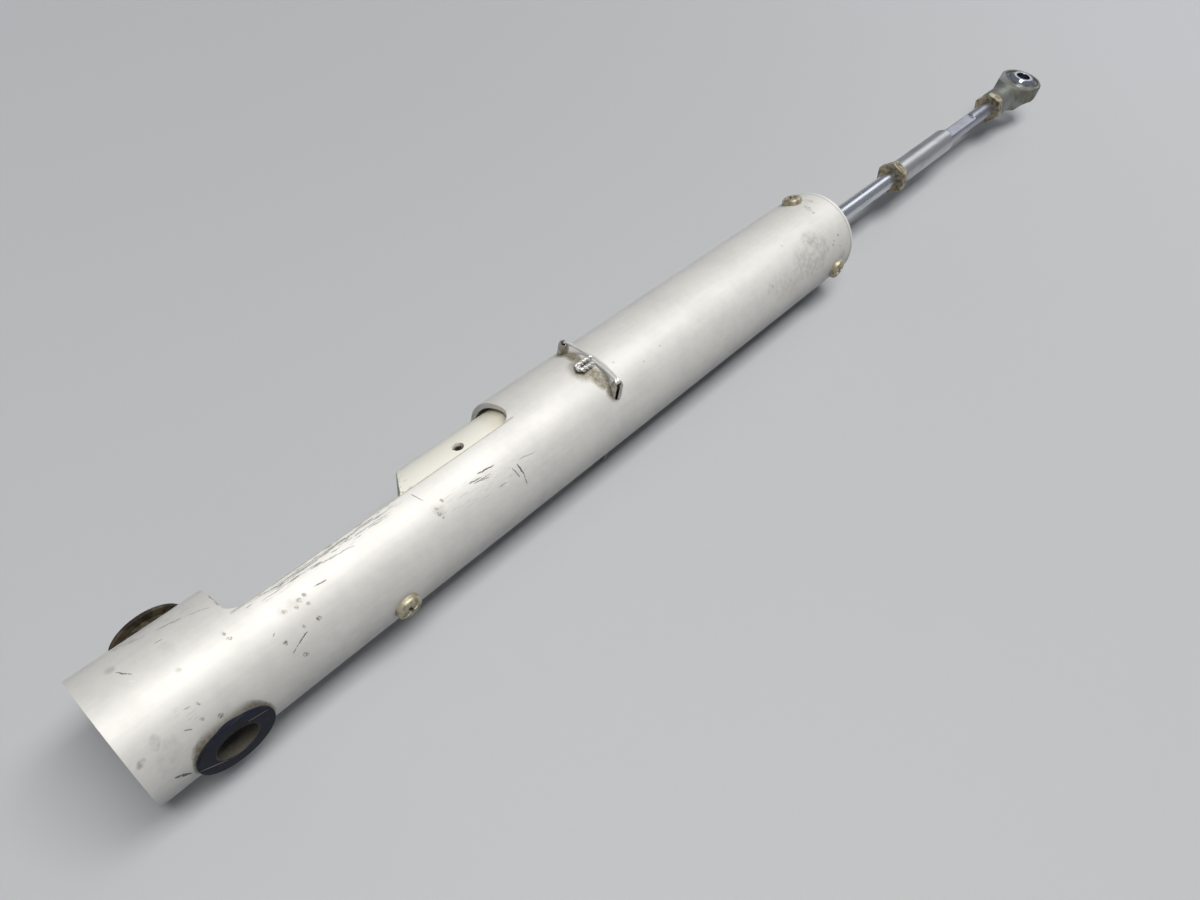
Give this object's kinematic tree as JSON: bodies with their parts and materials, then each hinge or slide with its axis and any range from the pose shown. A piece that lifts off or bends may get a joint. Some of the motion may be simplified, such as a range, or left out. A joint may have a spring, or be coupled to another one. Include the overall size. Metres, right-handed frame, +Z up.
{
  "type": "roll trim cartridge",
  "caption": "Long aluminium tube with a half-cut window and a cross pivot bore at one end, and a spring-centred push rod with a spherical rod end at the other.",
  "frame": {"origin": "middle of the pivot bore, on the tube's axis", "axes": "+X along the tube's axis towards the rod end, +Y along the pivot bore out of the side with the window, +Z up along the two stop pins and the rod end's bore"},
  "size_m": [0.4648, 0.0347, 0.0342],
  "materials": {
    "anodised_aluminium": "satin clear-anodised, lightly scuffed",
    "seat_aluminium": "turned",
    "bearing_bronze": "machined bronze",
    "cadmium_steel": "yellow cadmium plate, worn",
    "black_plastic": "moulded black acetal",
    "ivory_plastic": "machined natural plastic",
    "spring_steel": "bright spring steel",
    "lock_wire": "drawn stainless wire",
    "polished_steel": "ground and polished steel",
    "rod_end_steel": "dull grey plated steel",
    "ball_chrome": "hard chrome"
  },
  "bodies": {
    "housing": {"outer_tube": "anodised_aluminium", "end_cap": "anodised_aluminium", "cap_bushing": "bearing_bronze", "cap_screws": "cadmium_steel", "pivot_bushing_near": "black_plastic", "pivot_bushing_far": "black_plastic", "stop_screw": "cadmium_steel", "stop_pin_near": "spring_steel", "stop_pin_far": "spring_steel", "safety_wire": "lock_wire", "rear_spring_seat": "seat_aluminium", "front_spring_seat": "seat_aluminium", "rear_spring": "spring_steel", "front_spring": "spring_steel"},
    "shaft": {"push_rod": "polished_steel", "slider": "ivory_plastic", "slider_pin": "spring_steel", "spring_collar": "seat_aluminium", "collar_pin": "spring_steel", "adjuster_jam_nut": "cadmium_steel", "adjuster_coupling": "polished_steel", "rod_end_stud": "polished_steel", "rod_end_jam_nut": "cadmium_steel", "rod_end_body": "rod_end_steel", "rod_end_race": "bearing_bronze"},
    "ball": {"rod_end_ball": "ball_chrome"}
  },
  "joints": [
    {"name": "rod_slide", "type": "slide", "parent": "housing", "child": "shaft", "axis": [1, 0, 0], "range_m": [-0.01, 0.01], "stiffness_N_per_m": 4000, "deforming": ["rear_spring", "front_spring"]},
    {"name": "ball_tilt", "type": "hinge", "parent": "shaft", "child": "ball", "pos_m": [0.43778, 0, 0], "axis": [1, 0, 0], "range_deg": [-12, 12]}
  ]
}
